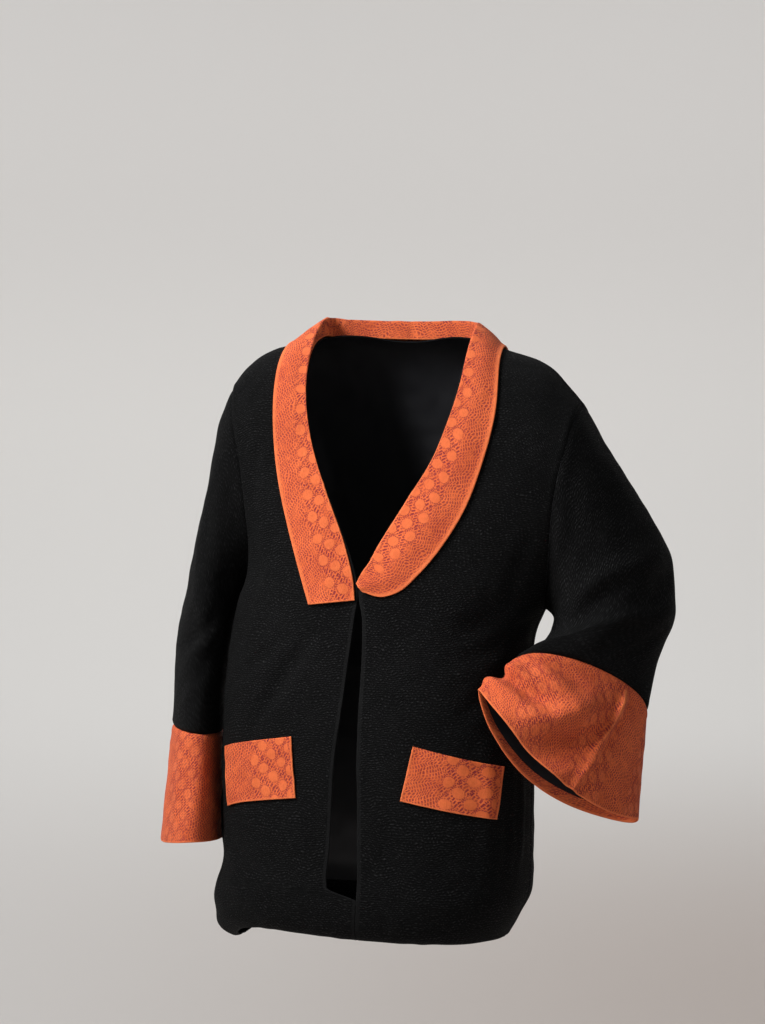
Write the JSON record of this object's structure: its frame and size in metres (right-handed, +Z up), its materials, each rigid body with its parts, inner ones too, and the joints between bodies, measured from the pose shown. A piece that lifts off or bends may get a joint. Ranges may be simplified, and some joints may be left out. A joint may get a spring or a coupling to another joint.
{
  "type": "kimono jacket",
  "caption": "Kimono jacket kept in its worn form: hollow, open down the front, with a wide shawl collar, flared cuffs, pocket flaps and one sleeve bent at the elbow",
  "frame": {"origin": "the middle of the neck at the height of the shoulder seams, where the worn garment is held", "axes": "+Z up along the wearer, -Y the way the front faces, +X the wearer's left"},
  "size_m": [0.7664, 0.3193, 0.9013],
  "materials": {
    "crepe": "matte",
    "orange": "matte",
    "lining": "satin"
  },
  "bodies": {
    "root": {"back": "crepe", "front_right": "crepe", "front_left": "crepe", "sleeve_right": "crepe", "sleeve_left": "crepe", "cuff_right": "orange", "cuff_left": "orange", "collar": "orange", "flap_right": "orange", "flap_left": "orange", "cuff_facing_left": "orange", "cuff_lining_left": "lining"}
  },
  "joints": []
}
